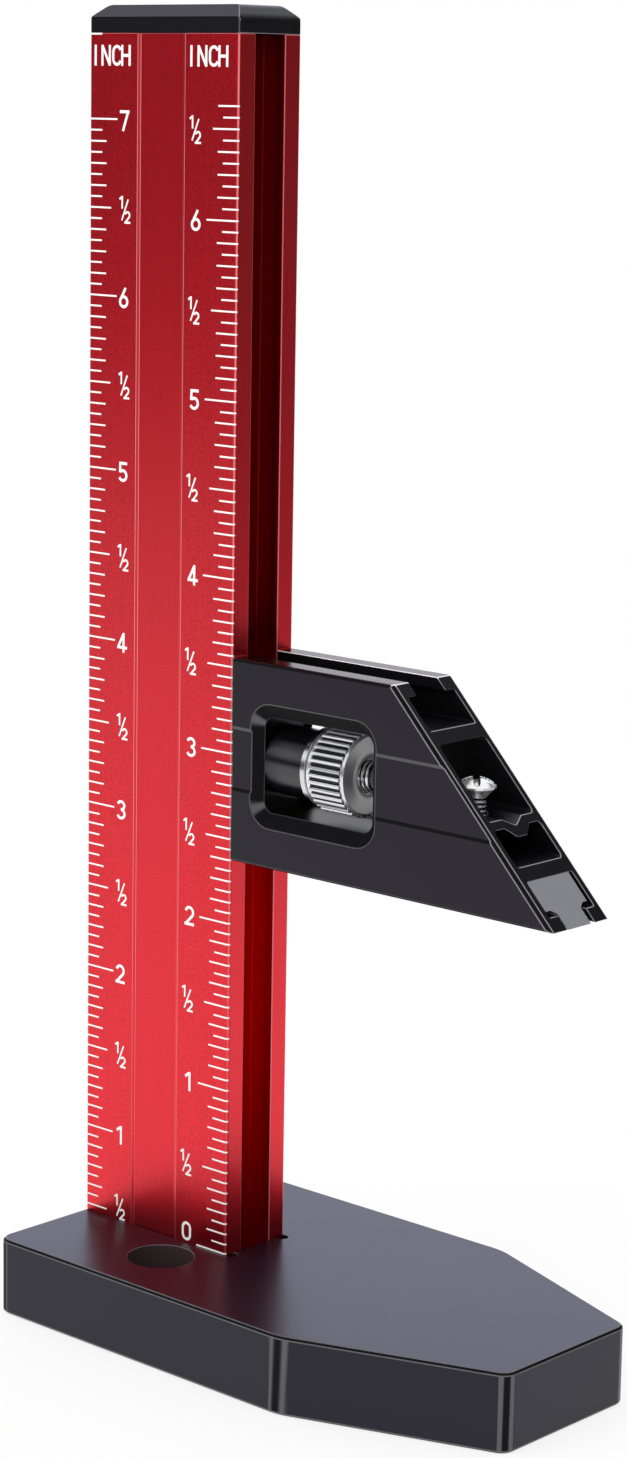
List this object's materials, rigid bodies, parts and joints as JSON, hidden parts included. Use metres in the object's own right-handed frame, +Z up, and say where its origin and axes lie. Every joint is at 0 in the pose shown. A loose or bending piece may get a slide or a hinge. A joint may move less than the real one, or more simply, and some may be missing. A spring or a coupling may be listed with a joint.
{
  "type": "depth and height gauge",
  "caption": "Upright slotted rail with an inch scale on a tapered base; a mitred measuring head slides on the rail and is locked by a knurled nut in its window.",
  "frame": {"origin": "middle of the underside of the base plate", "axes": "+Z up along the rail, +X from the rail to the narrow end of the base, +Y to the back"},
  "size_m": [0.09, 0.05, 0.194],
  "materials": {
    "red_anodised": "satin anodised",
    "black_anodised": "satin anodised",
    "black_plastic": "fine moulded grain",
    "bright_steel": "bright turned",
    "grey_bar": "matt blasted",
    "bare_aluminium": "sawn"
  },
  "bodies": {
    "stand": {"base_plate": "black_anodised", "rail": "red_anodised", "rail_plug": "bare_aluminium", "rail_screw": "bright_steel", "top_cap": "black_plastic"},
    "head": {"head_body": "black_anodised", "sole_bar": "grey_bar", "sole_bar_screw": "bright_steel", "guide_key": "black_plastic", "clamp_bar": "bright_steel", "clamp_stud": "bright_steel", "clamp_sleeve": "black_plastic"},
    "nut_carriage": {"clamp_washer": "bright_steel"},
    "nut": {"knurled_nut": "bright_steel"}
  },
  "joints": [
    {"name": "head_slide", "type": "slide", "parent": "stand", "child": "head", "axis": [0, 0, 1], "range_m": [-0.06, 0.0875]},
    {"name": "nut_travel", "type": "slide", "parent": "head", "child": "nut_carriage", "axis": [1, 0, 0], "range_m": [0, 0.00121]},
    {"name": "nut_spin", "type": "hinge", "parent": "nut_carriage", "child": "nut", "pos_m": [0.0027, 0, 0.087], "axis": [1, 0, 0], "range_deg": [0, 540]}
  ],
  "couplings": [
    {"joint": "nut_travel", "follows": "nut_spin", "m_per_rad": 0.00012732}
  ]
}
